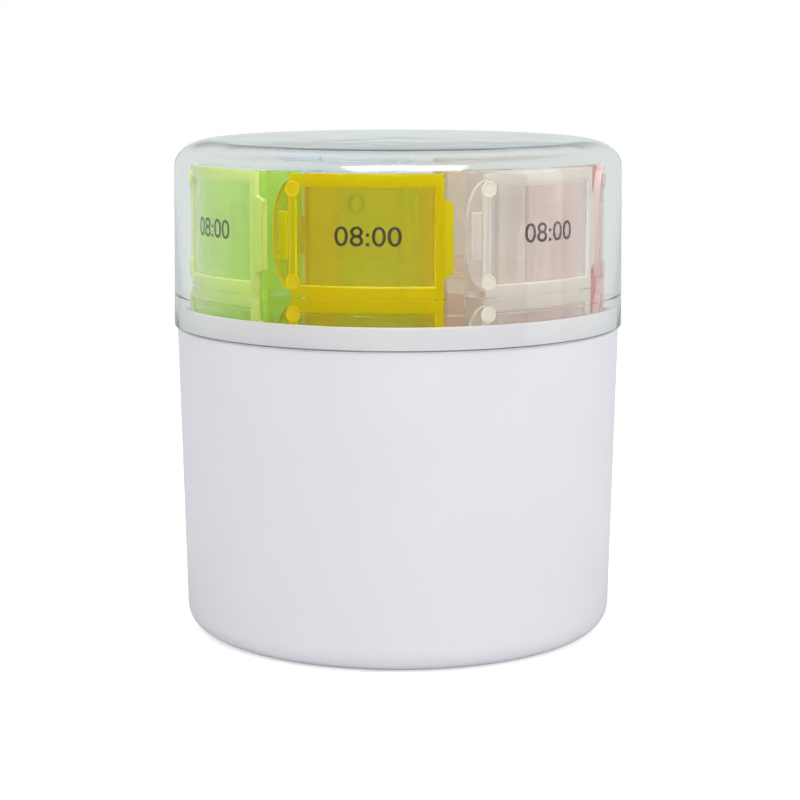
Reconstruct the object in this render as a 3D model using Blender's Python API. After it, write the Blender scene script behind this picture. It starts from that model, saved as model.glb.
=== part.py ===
"""Round weekly pill organizer: a white holder cup, a clear cover that slips over its neck, and seven
wedge-shaped day boxes standing in a ring inside. Each day box is a tinted tray with four compartments,
one above the other, and each compartment opens to the outside through its own curved lid, which turns
on a pin moulded along its right edge and snaps shut on a bead at its left.

Metres, +Z up. The origin is on the organizer's own axis, on the surface that it stands on, and -Y is
the front. Azimuths run from -Y towards +X, so they grow anticlockwise seen from above."""

from math import asin, cos, pi, radians, sin

import bmesh
import bpy
from mathutils import Matrix, Vector

MM = 0.001

# Overall
TOTAL_HEIGHT = 120.2 * MM
SEAM_HEIGHT = 75.1 * MM  # where the cover's skirt sits down on the cup's shoulder
SEAT_GAP = 0.3 * MM  # between pieces that rest on each other
TURN_STEPS = 48

# Clear cover
COVER_RADIUS = 55.0 * MM  # outside, at the skirt's lower edge
COVER_DRAFT = 0.5 * MM  # how much narrower the skirt is where the shoulder starts
COVER_WALL = 1.5 * MM
COVER_SKIRT_WALL = 1.4 * MM  # thinner below the step, where it slips over the neck
COVER_STEP_RISE = 2.2 * MM  # from the neck's rim up to that step
SHOULDER_REACH = 9.4 * MM  # radial half axis of the rounded shoulder
SHOULDER_RISE = 6.3 * MM  # its vertical half axis
SHOULDER_STEPS = 5

# Holder cup
CUP_STEP = 0.8 * MM  # the cup is this much slimmer than the skirt above the seam
CUP_DRAFT = 1.6 * MM  # how much narrower the cup is at its foot
CUP_WALL = 2.2 * MM  # at the seam
CUP_FOOT_WALL = 1.1 * MM  # just above the floor
CUP_FLOOR = 2.0 * MM
BASE_FILLET = 5.8 * MM
FILLET_STEPS = 4
INNER_FILLET = 0.6 * MM  # the lowest lids reach down beside it
FOOT_RING_WIDTH = 2.8 * MM
FOOT_RECESS = 0.8 * MM
NECK_RISE = 5.8 * MM  # the neck above the seam
NECK_ROUND = 0.4 * MM  # chamfer on both edges of its rim

# Day boxes
DAY_COUNT = 7
FRONT_AZIMUTH = radians(-7.3)  # the yellow box, a little left of the front
LEVEL_COUNT = 4
TRAY_HEADROOM = 3.8 * MM  # from the trays up to the cover's inside
TRAY_DEPTH = 16.6 * MM  # from the rim that the lids close on to the flat end behind
TRAY_HALF_ANGLE = radians(18.0)
TRAY_WALL = 1.2 * MM
ARC_STEPS = 4  # facets across a tray or a lid panel

# Lids. They fill the cup's bore, so their radius follows from it
LID_CLEARANCE = 1.0 * MM  # from a lid to the bore where it is narrowest, with room for studs
LID_GAP = 0.3 * MM  # to the tray's rim, and between one lid and the next
LID_THICKNESS = 1.6 * MM
PANEL_RECESS = 0.5 * MM
PANEL_MARGIN = 2.6 * MM  # height of the frame's bars above and below the panel
FRAME_LEFT = radians(-21.2)
FRAME_RIGHT = radians(18.9)
LIP_REACH = radians(5.6)  # how far the bowed finger lip stands out past the frame
LIP_DROP = 1.5 * MM  # from the lid's corners to where the lip starts
LIP_STEPS = 5
TAB_REACH = radians(2.7)  # the hinge tab past the frame's right edge
TAB_TOP_INSET = 5.3 * MM  # from the lid's upper edge down to the tab
TAB_BOTTOM_INSET = 4.5 * MM  # and from its lower edge up
TAB_SLOPE = 1.2 * MM

# Hinge: a barrel moulded on each lid, with a stub at either end in the tray's lugs
BARREL_RADIUS = 0.7 * MM
STUB_RADIUS = 0.45 * MM
HINGE_CLEARANCE = 0.3 * MM
LUG_WALL = 0.4 * MM
LUG_HALF_HEIGHT = 1.2 * MM
STUB_LENGTH = 1.1 * MM
WEB_WIDTH = 0.9 * MM
HINGE_STEPS = 10

# Catch: a rib behind each lid's left edge snaps over a bead on the tray's side
BEAD_PROUD = 0.7 * MM
BEAD_DEPTH = 0.9 * MM
BEAD_HALF_HEIGHT = 3.0 * MM
BEAD_INSET = 0.7 * MM  # from the tray's rim back to the bead
CATCH_CLEARANCE = 0.55 * MM  # rib to bead, since the rib closes on it as the lid turns out
RIB_WIDTH = 1.0 * MM
RIB_LENGTH = 2.4 * MM
RIB_HALF_HEIGHT = 4.2 * MM

# Stud: the two low round bosses at each lid's left corners
STUD_RADIUS = 1.9 * MM
STUD_PROUD = 0.3 * MM
STUD_INSET = 3.9 * MM  # from the lid's upper or lower edge to the middle of a stud
STUD_AZIMUTH = radians(-20.2)
STUD_STEPS = 8

OVERRUN = 1.0 * MM  # how far a cutter passes the surface that it opens
SUNK = 0.5 * MM  # how deep a joined shape starts inside its neighbour
MERGE_DISTANCE = 0.001 * MM
FLAT_ANGLE = radians(0.5)  # faces that meet flatter than this are made one

# Sizes that follow from those above
COVER_SHOULDER_RADIUS = COVER_RADIUS - COVER_DRAFT
COVER_FLAT_RADIUS = COVER_SHOULDER_RADIUS - SHOULDER_REACH
COVER_SHOULDER_HEIGHT = TOTAL_HEIGHT - SHOULDER_RISE
SKIRT_BORE = COVER_RADIUS - COVER_SKIRT_WALL
COVER_BORE = COVER_SHOULDER_RADIUS - COVER_WALL
NECK_RADIUS = SKIRT_BORE - SEAT_GAP
NECK_TOP = SEAM_HEIGHT + NECK_RISE
CUP_RADIUS = COVER_RADIUS - CUP_STEP
CUP_FOOT_RADIUS = CUP_RADIUS - CUP_DRAFT
CUP_BORE = CUP_RADIUS - CUP_WALL
CUP_FOOT_BORE = CUP_FOOT_RADIUS - CUP_FOOT_WALL
FOOT_OUTER = CUP_FOOT_RADIUS - BASE_FILLET
TRAY_BASE = CUP_FLOOR + SEAT_GAP
TRAY_TOP = TOTAL_HEIGHT - COVER_WALL - TRAY_HEADROOM
LEVEL_PITCH = (TRAY_TOP - TRAY_BASE) / LEVEL_COUNT
LID_OUTER = CUP_FOOT_BORE - LID_CLEARANCE
LID_INNER = LID_OUTER - LID_THICKNESS
LID_HALF_HEIGHT = (LEVEL_PITCH - LID_GAP) / 2
TRAY_OUTER = LID_INNER - LID_GAP
TRAY_INNER = TRAY_OUTER - TRAY_DEPTH
TAB_TOP = LID_HALF_HEIGHT - TAB_TOP_INSET
TAB_BOTTOM = LID_HALF_HEIGHT - TAB_BOTTOM_INSET
STUD_RISE = LID_HALF_HEIGHT - STUD_INSET
HINGE_RADIUS = TRAY_OUTER - BARREL_RADIUS - HINGE_CLEARANCE
HINGE_AZIMUTH = TRAY_HALF_ANGLE + asin((BARREL_RADIUS + HINGE_CLEARANCE) / HINGE_RADIUS)
LUG_HOLE_RADIUS = STUB_RADIUS + HINGE_CLEARANCE
LUG_RADIUS = LUG_HOLE_RADIUS + LUG_WALL
BARREL_HALF_LENGTH = LEVEL_PITCH / 2 - LUG_HALF_HEIGHT - HINGE_CLEARANCE

# Tint of each day box, from the yellow one round to the right, as red, green, blue
DAY_TINTS = {
    "yellow": (0.80, 0.68, 0.01),
    "clear": (0.78, 0.76, 0.70),
    "pink": (0.85, 0.42, 0.42),
    "orange": (0.90, 0.38, 0.10),
    "blue": (0.12, 0.45, 0.80),
    "lilac": (0.50, 0.34, 0.78),
    "green": (0.38, 0.78, 0.16),
}


def clear_scene():
    for old in list(bpy.data.objects):
        bpy.data.objects.remove(old)


def plastic(name, colour, roughness, opacity):
    """Moulded plastic: opaque for the cup, see-through for the cover, trays and lids."""
    material = bpy.data.materials.new(name)
    material.use_nodes = True
    shader = material.node_tree.nodes["Principled BSDF"]
    shader.inputs["Base Color"].default_value = (*colour, 1)
    shader.inputs["Roughness"].default_value = roughness
    shader.inputs["Metallic"].default_value = 0
    shader.inputs["Alpha"].default_value = opacity
    return material


def place(name, mesh, material, location=(0, 0, 0), azimuth=0):
    """One named sub-part. The mesh may be shared, so the material belongs to the object."""
    piece = bpy.data.objects.new(name, mesh)
    bpy.context.collection.objects.link(piece)
    piece.location = location
    piece.rotation_euler = (0, 0, azimuth)
    if not mesh.materials:
        mesh.materials.append(None)
    piece.material_slots[0].link = "OBJECT"
    piece.material_slots[0].material = material
    return piece


def mesh_from(name, shape):
    mesh = bpy.data.meshes.new(name)
    shape.to_mesh(mesh)
    shape.free()
    return mesh


def on_circle(azimuth, radius, height=0):
    return Vector((radius * sin(azimuth), -radius * cos(azimuth), height))


def arc(centre, half_axes, start, end, steps):
    """Points of an ellipse's arc in the turning plane, as radius and height, both ends included."""
    turns = [start + (end - start) * step / steps for step in range(steps + 1)]
    return [
        (centre[0] + half_axes[0] * cos(turn), centre[1] + half_axes[1] * sin(turn))
        for turn in turns
    ]


def turned(outline):
    """A solid turned about the upright axis, from an outline that starts and ends on the axis."""
    shape = bmesh.new()
    corners = [shape.verts.new((radius, 0, height)) for radius, height in outline]
    edges = [shape.edges.new(pair) for pair in zip(corners, corners[1:])]
    bmesh.ops.spin(
        shape, geom=corners + edges, axis=(0, 0, 1), cent=(0, 0, 0), angle=2 * pi,
        steps=TURN_STEPS, use_merge=True,
    )
    bmesh.ops.remove_doubles(shape, verts=shape.verts, dist=MERGE_DISTANCE)
    bmesh.ops.recalc_face_normals(shape, faces=shape.faces)
    return shape


def prism(corners, low, high):
    """A straight column over a flat outline of x, y corners, from one height to another."""
    shape = bmesh.new()
    face = shape.faces.new([shape.verts.new((x, y, low)) for x, y in corners])
    grown = bmesh.ops.extrude_face_region(shape, geom=[face])
    tops = [item for item in grown["geom"] if isinstance(item, bmesh.types.BMVert)]
    bmesh.ops.translate(shape, verts=tops, vec=(0, 0, high - low))
    bmesh.ops.recalc_face_normals(shape, faces=shape.faces)
    return shape


def post(azimuth, from_axis, radius, low, high):
    """An upright round post whose centre lies on a circle about the axis."""
    centre = on_circle(azimuth, from_axis)
    turns = [2 * pi * (step + 1 / 2) / HINGE_STEPS for step in range(HINGE_STEPS)]
    corners = [(centre.x + radius * cos(turn), centre.y + radius * sin(turn)) for turn in turns]
    return prism(corners, low, high)


def block(azimuth, outward, across, low, high):
    """A straight block seen from above: its reach from the axis, and its reach to the two sides."""
    along = on_circle(azimuth, 1)
    aside = on_circle(azimuth + pi / 2, 1)
    corners = [
        along * outward[0] + aside * across[0],
        along * outward[1] + aside * across[0],
        along * outward[1] + aside * across[1],
        along * outward[0] + aside * across[1],
    ]
    return prism([(corner.x, corner.y) for corner in corners], low, high)


def together(*shapes):
    """Several separate bodies in one mesh, for a single cut or join."""
    whole = bmesh.new()
    for shape in shapes:
        part = mesh_from("part", shape)
        whole.from_mesh(part)
        bpy.data.meshes.remove(part)
    return whole


def carved(name, body, steps):
    """The body after a row of joins and cuts, each given as an operation and its shape."""
    stock = bpy.data.objects.new(name, mesh_from(name, body))
    bpy.context.collection.objects.link(stock)
    tools = []
    for operation, shape in steps:
        tool = bpy.data.objects.new(f"{name}_tool", mesh_from(f"{name}_tool", shape))
        bpy.context.collection.objects.link(tool)
        tool.hide_render = True
        tool.display_type = "WIRE"
        tools.append(tool)
        work = stock.modifiers.new(operation, "BOOLEAN")
        work.operation = operation
        work.solver = "EXACT"
        work.object = tool
    evaluated = stock.evaluated_get(bpy.context.evaluated_depsgraph_get())
    mesh = bpy.data.meshes.new_from_object(evaluated)
    for used in [stock, *tools]:
        bpy.data.objects.remove(used)
    shape = bmesh.new()
    shape.from_mesh(mesh)
    bmesh.ops.remove_doubles(shape, verts=shape.verts, dist=MERGE_DISTANCE)
    bmesh.ops.dissolve_limit(
        shape, angle_limit=FLAT_ANGLE, verts=shape.verts, edges=shape.edges,
    )
    shape.to_mesh(mesh)
    shape.free()
    return mesh


def rounded(mesh):
    mesh.shade_smooth()
    mesh.set_sharp_from_angle(angle=radians(30))
    return mesh


def cup_mesh():
    """The holder: floor on a foot ring, slightly tapered wall, and the neck that the cover slips over."""
    fillet_centre = (FOOT_OUTER, BASE_FILLET)
    inner_centre = (CUP_FOOT_BORE - INNER_FILLET, CUP_FLOOR + INNER_FILLET)
    outline = [
        (0, FOOT_RECESS),
        (FOOT_OUTER - FOOT_RING_WIDTH - FOOT_RECESS, FOOT_RECESS),
        (FOOT_OUTER - FOOT_RING_WIDTH, 0),
        *arc(fillet_centre, (BASE_FILLET, BASE_FILLET), -pi / 2, 0, FILLET_STEPS),
        (CUP_RADIUS, SEAM_HEIGHT),
        (NECK_RADIUS, SEAM_HEIGHT),
        (NECK_RADIUS, NECK_TOP - NECK_ROUND),
        (NECK_RADIUS - NECK_ROUND, NECK_TOP),
        (CUP_BORE + NECK_ROUND, NECK_TOP),
        (CUP_BORE, NECK_TOP - NECK_ROUND),
        (CUP_FOOT_BORE, inner_centre[1]),
        (inner_centre[0], CUP_FLOOR),
        (0, CUP_FLOOR),
    ]
    return rounded(mesh_from("holder_cup", turned(outline)))


def cover_mesh():
    """The clear cover: flat top, rounded shoulder, and a skirt with a shallow step inside it."""
    centre = (COVER_FLAT_RADIUS, COVER_SHOULDER_HEIGHT)
    inner_axes = (SHOULDER_REACH - COVER_WALL, SHOULDER_RISE - COVER_WALL)
    outer_axes = (SHOULDER_REACH, SHOULDER_RISE)
    step_height = NECK_TOP + COVER_STEP_RISE
    step_slope = SKIRT_BORE - COVER_BORE
    outline = [
        (0, TOTAL_HEIGHT),
        *reversed(arc(centre, outer_axes, 0, pi / 2, SHOULDER_STEPS)),
        (COVER_RADIUS, SEAM_HEIGHT + SEAT_GAP),
        (SKIRT_BORE, SEAM_HEIGHT + SEAT_GAP),
        (SKIRT_BORE, step_height),
        (COVER_BORE, step_height + step_slope),
        *arc(centre, inner_axes, 0, pi / 2, SHOULDER_STEPS),
        (0, TOTAL_HEIGHT - COVER_WALL),
    ]
    return rounded(mesh_from("clear_cover", turned(outline)))


def level_height(level):
    """Middle of a compartment, counted from the top one down."""
    return TRAY_TOP - (level + 1 / 2) * LEVEL_PITCH


def wedge_outline():
    """The tray seen from above: a faceted arc at the front, straight sides and a flat end."""
    turns = [TRAY_HALF_ANGLE * (2 * step / ARC_STEPS - 1) for step in range(ARC_STEPS + 1)]
    front = [on_circle(turn, TRAY_OUTER) for turn in turns]
    end = TRAY_INNER / cos(TRAY_HALF_ANGLE)
    back = [on_circle(turn, end) for turn in (TRAY_HALF_ANGLE, -TRAY_HALF_ANGLE)]
    return [(point.x, point.y) for point in front + back]


def pocket_outline():
    """One compartment seen from above, a wall's thickness inside the tray and open to the front."""
    depth = TRAY_INNER + TRAY_WALL
    mouth = TRAY_OUTER + OVERRUN
    sides = []
    for reach in (mouth, depth):
        half = (reach * sin(TRAY_HALF_ANGLE) - TRAY_WALL) / cos(TRAY_HALF_ANGLE)
        sides.append((half, -reach))
    (mouth_half, front), (end_half, back) = sides
    return [(-mouth_half, front), (mouth_half, front), (end_half, back), (-end_half, back)]


def tray_mesh():
    """A day box: four pockets, five pairs of hinge ears on its right and four beads on its left."""
    pockets = []
    beads = []
    for level in range(LEVEL_COUNT):
        middle = level_height(level)
        half = (LEVEL_PITCH - TRAY_WALL) / 2
        pockets.append(prism(pocket_outline(), middle - half, middle + half))
        reach = TRAY_OUTER - BEAD_INSET
        beads.append(block(
            -TRAY_HALF_ANGLE, (reach - BEAD_DEPTH, reach), (-BEAD_PROUD, SUNK),
            middle - BEAD_HALF_HEIGHT, middle + BEAD_HALF_HEIGHT,
        ))
    ears = []
    for floor in range(LEVEL_COUNT + 1):
        height = TRAY_BASE + floor * LEVEL_PITCH
        low = max(height - LUG_HALF_HEIGHT, TRAY_BASE)
        high = min(height + LUG_HALF_HEIGHT, TRAY_TOP)
        ears.append(post(HINGE_AZIMUTH, HINGE_RADIUS, LUG_RADIUS, low, high))
    bore = post(
        HINGE_AZIMUTH, HINGE_RADIUS, LUG_HOLE_RADIUS, TRAY_BASE - OVERRUN, TRAY_TOP + OVERRUN,
    )
    body = prism(wedge_outline(), TRAY_BASE, TRAY_TOP)
    steps = [
        ("UNION", together(*ears)),
        ("UNION", together(*beads)),
        ("DIFFERENCE", bore),
        ("DIFFERENCE", together(*pockets)),
    ]
    return carved("day_box", body, steps)


def lid_outline():
    """The lid unrolled, as azimuth and height: a frame, a bowed lip on its left, a tab on its right."""
    top = LID_HALF_HEIGHT
    lip_top = top - LIP_DROP
    lip = []
    for step in range(1, LIP_STEPS):
        turn = pi * step / LIP_STEPS
        lip.append((FRAME_LEFT - LIP_REACH * sin(turn), -lip_top * cos(turn)))
    return [
        (FRAME_LEFT, top),
        (FRAME_LEFT, lip_top),
        *reversed(lip),
        (FRAME_LEFT, -lip_top),
        (FRAME_LEFT, -top),
        (FRAME_RIGHT, -top),
        (FRAME_RIGHT, -TAB_BOTTOM),
        (FRAME_RIGHT + TAB_REACH, TAB_SLOPE - TAB_BOTTOM),
        (FRAME_RIGHT + TAB_REACH, TAB_TOP - TAB_SLOPE),
        (FRAME_RIGHT, TAB_TOP),
        (FRAME_RIGHT, top),
    ]


def slice_across(shape, place_on, direction):
    bmesh.ops.bisect_plane(
        shape, geom=shape.verts[:] + shape.edges[:] + shape.faces[:], plane_co=place_on,
        plane_no=direction, dist=MERGE_DISTANCE,
    )


def lid_plate():
    """The curved plate of a lid with its recessed panel, bent from the flat outline."""
    panel_half = LID_HALF_HEIGHT - PANEL_MARGIN
    shape = bmesh.new()
    flat = [(azimuth * LID_OUTER, height) for azimuth, height in lid_outline()]
    shape.faces.new([shape.verts.new((along, -LID_OUTER, height)) for along, height in flat])
    for step in range(ARC_STEPS + 1):
        turn = TRAY_HALF_ANGLE * (2 * step / ARC_STEPS - 1)
        slice_across(shape, (turn * LID_OUTER, 0, 0), (1, 0, 0))
    for side in (FRAME_LEFT, FRAME_RIGHT):
        slice_across(shape, (side * LID_OUTER, 0, 0), (1, 0, 0))
    for height in (-panel_half, panel_half):
        slice_across(shape, (0, 0, height), (0, 0, 1))
    outside = shape.faces[:]
    grown = bmesh.ops.extrude_face_region(shape, geom=outside, use_keep_orig=True)
    inside = [item for item in grown["geom"] if isinstance(item, bmesh.types.BMVert)]
    bmesh.ops.translate(shape, verts=inside, vec=(0, LID_THICKNESS, 0))
    panel = []
    for face in outside:
        middle = face.calc_center_median()
        within = abs(middle.x) < TRAY_HALF_ANGLE * LID_OUTER and abs(middle.z) < panel_half
        if within:
            panel.append(face)
    sunk = bmesh.ops.extrude_face_region(shape, geom=panel)
    floor = [item for item in sunk["geom"] if isinstance(item, bmesh.types.BMVert)]
    bmesh.ops.translate(shape, verts=floor, vec=(0, PANEL_RECESS, 0))
    bmesh.ops.delete(shape, geom=panel, context="FACES")
    bmesh.ops.remove_doubles(shape, verts=shape.verts, dist=MERGE_DISTANCE)
    bmesh.ops.recalc_face_normals(shape, faces=shape.faces)
    for vertex in shape.verts:
        vertex.co = on_circle(vertex.co.x / LID_OUTER, -vertex.co.y, vertex.co.z)
    return shape


def lid_stud(height):
    """A low round boss that stands out of the lid's left frame bar."""
    shape = bmesh.new()
    depth = STUD_PROUD + SUNK
    bmesh.ops.create_cone(
        shape, cap_ends=True, segments=STUD_STEPS, radius1=STUD_RADIUS, radius2=STUD_RADIUS,
        depth=depth,
    )
    centre = on_circle(STUD_AZIMUTH, LID_OUTER + STUD_PROUD - depth / 2, height)
    turn = Matrix.Rotation(STUD_AZIMUTH, 4, "Z") @ Matrix.Rotation(pi / 2, 4, "X")
    bmesh.ops.transform(shape, matrix=Matrix.Translation(centre) @ turn, verts=shape.verts)
    return shape


def lid_mesh():
    """A lid at azimuth zero and height zero, with its origin on the hinge's axis."""
    stub_half = BARREL_HALF_LENGTH + STUB_LENGTH
    rib_side = BEAD_PROUD + CATCH_CLEARANCE
    steps = [
        ("UNION", block(
            HINGE_AZIMUTH, (HINGE_RADIUS, LID_INNER + SUNK), (-WEB_WIDTH / 2, WEB_WIDTH / 2),
            -TAB_BOTTOM + TAB_SLOPE, TAB_TOP - TAB_SLOPE,
        )),
        ("UNION", post(
            HINGE_AZIMUTH, HINGE_RADIUS, BARREL_RADIUS, -BARREL_HALF_LENGTH, BARREL_HALF_LENGTH,
        )),
        ("UNION", post(HINGE_AZIMUTH, HINGE_RADIUS, STUB_RADIUS, -stub_half, stub_half)),
        ("UNION", block(
            -TRAY_HALF_ANGLE, (LID_INNER - RIB_LENGTH, LID_INNER + SUNK),
            (-rib_side - RIB_WIDTH, -rib_side), -RIB_HALF_HEIGHT, RIB_HALF_HEIGHT,
        )),
        ("UNION", together(lid_stud(STUD_RISE), lid_stud(-STUD_RISE))),
    ]
    mesh = carved("lid", lid_plate(), steps)
    mesh.transform(Matrix.Translation(-on_circle(HINGE_AZIMUTH, HINGE_RADIUS)))
    return mesh


def build():
    clear_scene()
    white = plastic("white_polypropylene", (0.76, 0.75, 0.79), 0.35, 1)
    clear = plastic("clear_polystyrene", (0.80, 0.85, 0.85), 0.08, 0.3)
    place("holder_cup", cup_mesh(), white)
    place("clear_cover", cover_mesh(), clear)
    tray = tray_mesh()
    lid = lid_mesh()
    for day, (tint, colour) in enumerate(DAY_TINTS.items()):
        azimuth = FRONT_AZIMUTH + 2 * pi * day / DAY_COUNT
        material = plastic(f"{tint}_polystyrene", colour, 0.12, 0.55)
        place(f"day_box_{day + 1}", tray, material, azimuth=azimuth)
        for level in range(LEVEL_COUNT):
            hinge = on_circle(azimuth + HINGE_AZIMUTH, HINGE_RADIUS, level_height(level))
            place(f"day_{day + 1}_lid_{level + 1}", lid, material, hinge, azimuth)


build()
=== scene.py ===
# %% [markdown]
# # A round weekly pill organizer
#
# A white holder cup, a clear cover that slips over its neck, and seven tinted day boxes in a ring
# inside, each with four small lids. Every piece is injection moulded plastic, so the looks rest on
# two things: walls of true thickness with soft edges, and plastics that let light through them.
#
# The engineering model is loaded first. It says where every piece is and how it moves, and the
# pieces made here take the place of its plain faceted solids.

# %% Load the frame
from math import asin, atan2, ceil, cos, hypot, pi, radians, sin

import bmesh
import bpy
from mathutils import Matrix, Vector


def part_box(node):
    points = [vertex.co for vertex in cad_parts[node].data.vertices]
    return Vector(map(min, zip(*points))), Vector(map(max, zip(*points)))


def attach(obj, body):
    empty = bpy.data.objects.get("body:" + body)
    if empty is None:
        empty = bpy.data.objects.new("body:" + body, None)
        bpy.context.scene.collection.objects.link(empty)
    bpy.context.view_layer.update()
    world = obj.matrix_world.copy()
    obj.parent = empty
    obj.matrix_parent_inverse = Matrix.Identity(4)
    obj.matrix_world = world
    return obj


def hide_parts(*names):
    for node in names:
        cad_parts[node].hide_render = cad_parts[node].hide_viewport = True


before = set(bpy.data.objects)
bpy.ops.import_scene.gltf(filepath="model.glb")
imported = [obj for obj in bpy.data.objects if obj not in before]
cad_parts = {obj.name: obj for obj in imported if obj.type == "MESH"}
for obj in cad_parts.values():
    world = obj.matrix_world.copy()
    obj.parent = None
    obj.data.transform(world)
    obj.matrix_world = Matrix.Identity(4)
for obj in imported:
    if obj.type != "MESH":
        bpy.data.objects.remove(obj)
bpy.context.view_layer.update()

# %% [markdown]
# ## Sizes
#
# The heights and radii that the pieces share come from the frame's own boxes, so that nothing made
# here can drift from the solids that it replaces. Wall thicknesses and soft edges, which a box
# can't tell, are named below in millimetres.

# %% Shared sizes
MM = 0.001

cover_low, cover_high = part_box("clear_cover")
cup_low, cup_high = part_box("holder_cup")
tray_low, tray_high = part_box("day_box_1")

COVER_RADIUS = cover_high[0]
TOTAL_HEIGHT = cover_high[2]
SKIRT_FOOT = cover_low[2]
CUP_RADIUS = cup_high[0]
NECK_TOP = cup_high[2]
TRAY_BASE = tray_low[2]
TRAY_TOP = tray_high[2]

SEAT_GAP = 0.3 * MM
SEAM_HEIGHT = SKIRT_FOOT - SEAT_GAP
DAY_COUNT = 7
LEVEL_COUNT = 4
LEVEL_PITCH = (TRAY_TOP - TRAY_BASE) / LEVEL_COUNT
FRONT_AZIMUTH = radians(-7.3)
MERGE_DISTANCE = 0.001 * MM
FACING = 0.9  # a face looks in a direction from this cosine up
ASIDE = 0.5  # and past it up to this one
print("cover radius mm", round(COVER_RADIUS / MM, 2), "height mm", round(TOTAL_HEIGHT / MM, 2))

# %% [markdown]
# ## Small helpers
#
# Azimuths run from the front (-Y) towards +X. A shader is a tree of nodes, and one small helper
# adds a node with its settings and its links, so that a material reads from top to bottom.

# %% Helpers for places and colours


def on_circle(azimuth, radius, height=0.0):
    """A point at that azimuth from the front and that distance from the axis."""
    return Vector((radius * sin(azimuth), -radius * cos(azimuth), height))


def ellipse_arc(centre, half_axes, start, end, steps):
    """Points of an arc in the turning plane, as radius and height."""
    turns = [start + (end - start) * step / steps for step in range(steps + 1)]
    return [
        (centre[0] + half_axes[0] * cos(turn), centre[1] + half_axes[1] * sin(turn))
        for turn in turns
    ]


def linear(hex_colour):
    """An sRGB hex colour as the linear numbers that a shader takes."""
    shares = [int(hex_colour[place:place + 2], 16) / 255 for place in (1, 3, 5)]
    return tuple(
        share / 12.92 if share <= 0.04045 else ((share + 0.055) / 1.055) ** 2.4
        for share in shares
    )


def add_node(tree, kind, settings=None, **inputs):
    """A node with its settings, and its inputs set to a value or linked from a socket.

    An input goes by its name, or by its number after an underscore.
    """
    node = tree.nodes.new(kind)
    for name, value in (settings or {}).items():
        setattr(node, name, value)
    for name, value in inputs.items():
        key = int(name[1:]) if name[1:].isdigit() else name.replace("_", " ")
        socket = node.inputs[key]
        if isinstance(value, bpy.types.NodeSocket):
            tree.links.new(value, socket)
        else:
            socket.default_value = value
    return node


def blank_material(name):
    """A material with nothing but its output, and its node tree."""
    material = bpy.data.materials.new(name)
    material.use_nodes = True
    material.node_tree.nodes.clear()
    output = material.node_tree.nodes.new("ShaderNodeOutputMaterial")
    return material, material.node_tree, output


print("white as linear", linear("#ffffff"))

# %% [markdown]
# ## White polypropylene of the holder
#
# Polypropylene straight from a polished mould: a satin white with a faint cool cast, and a skin
# that isn't quite even. The evenness of a real moulding breaks down at two scales. Slow waves some
# 20 mm long bend the reflections a little, and a fine grain under half a millimetre softens them.
# The grain only changes the gloss, because a bump that fine would sparkle. It is drawn at 0.6 mm,
# coarser than the real one, so that it shows at all.

# %% White polypropylene
GRAIN_LENGTH = 0.6 * MM
CUP_WAVE_LENGTH = 22 * MM
CUP_WAVE_HEIGHT = 0.25 * MM
CUP_GLOSS = (0.29, 0.33)
CUP_TONES = ("#e6e5eb", "#ebeaef")


def tone_between(tree, share, colours):
    """A colour between two hex colours, by a share from 0 to 1."""
    tone = add_node(tree, "ShaderNodeMix", {"data_type": "RGBA"}, Factor=share)
    for number, colour in enumerate(colours, start=6):
        tone.inputs[number].default_value = (*linear(colour), 1)
    return tone.outputs[2]


def white_polypropylene():
    """Satin white, a little uneven in tone, gloss and flatness."""
    material, tree, output = blank_material("satin_white_polypropylene")
    place = add_node(tree, "ShaderNodeTexCoord").outputs["Object"]
    grain = add_node(
        tree, "ShaderNodeTexNoise", Vector=place, Scale=1 / GRAIN_LENGTH, Detail=3.0, Roughness=0.6
    )
    waves = add_node(
        tree, "ShaderNodeTexNoise", Vector=place, Scale=1 / CUP_WAVE_LENGTH, Detail=1.0
    )
    shine = add_node(
        tree, "ShaderNodeMapRange", Value=grain.outputs["Fac"],
        To_Min=CUP_GLOSS[0], To_Max=CUP_GLOSS[1],
    )
    slow = add_node(
        tree, "ShaderNodeBump", Strength=0.25, Distance=CUP_WAVE_HEIGHT,
        Height=waves.outputs["Fac"],
    )
    shader = add_node(
        tree, "ShaderNodeBsdfPrincipled",
        Base_Color=tone_between(tree, waves.outputs["Fac"], CUP_TONES),
        Roughness=shine.outputs["Result"], IOR=1.49, Normal=slow.outputs["Normal"],
    )
    tree.links.new(shader.outputs["BSDF"], output.inputs["Surface"])
    return material


cup_material = white_polypropylene()
print("made", cup_material.name)

# %% [markdown]
# ## Clear and tinted polystyrene
#
# The cover, trays and lids are polystyrene, polished like glass and 1.2 to 1.6 mm thick. They could
# be a thin film that fades what is behind it, which is quick, but then the edges don't glow and the
# shoulder of the cover doesn't bend the view. So the walls are solid and the shader refracts. A ray
# that only asks whether a lamp is blocked is let straight through with the plastic's tint, so the
# boxes inside are lit and the shadows have colour. The tint acts on each passage through a wall, so
# it deepens where walls lie behind each other, as it does in the real boxes. Slow waves in the
# skin, about as long as a panel is high, show how the melt flowed into the mould.

# %% See-through polystyrene
FLOW_LENGTH = 14 * MM
FLOW_HEIGHT = 0.1 * MM
SMOOTHEST = 0.01


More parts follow.
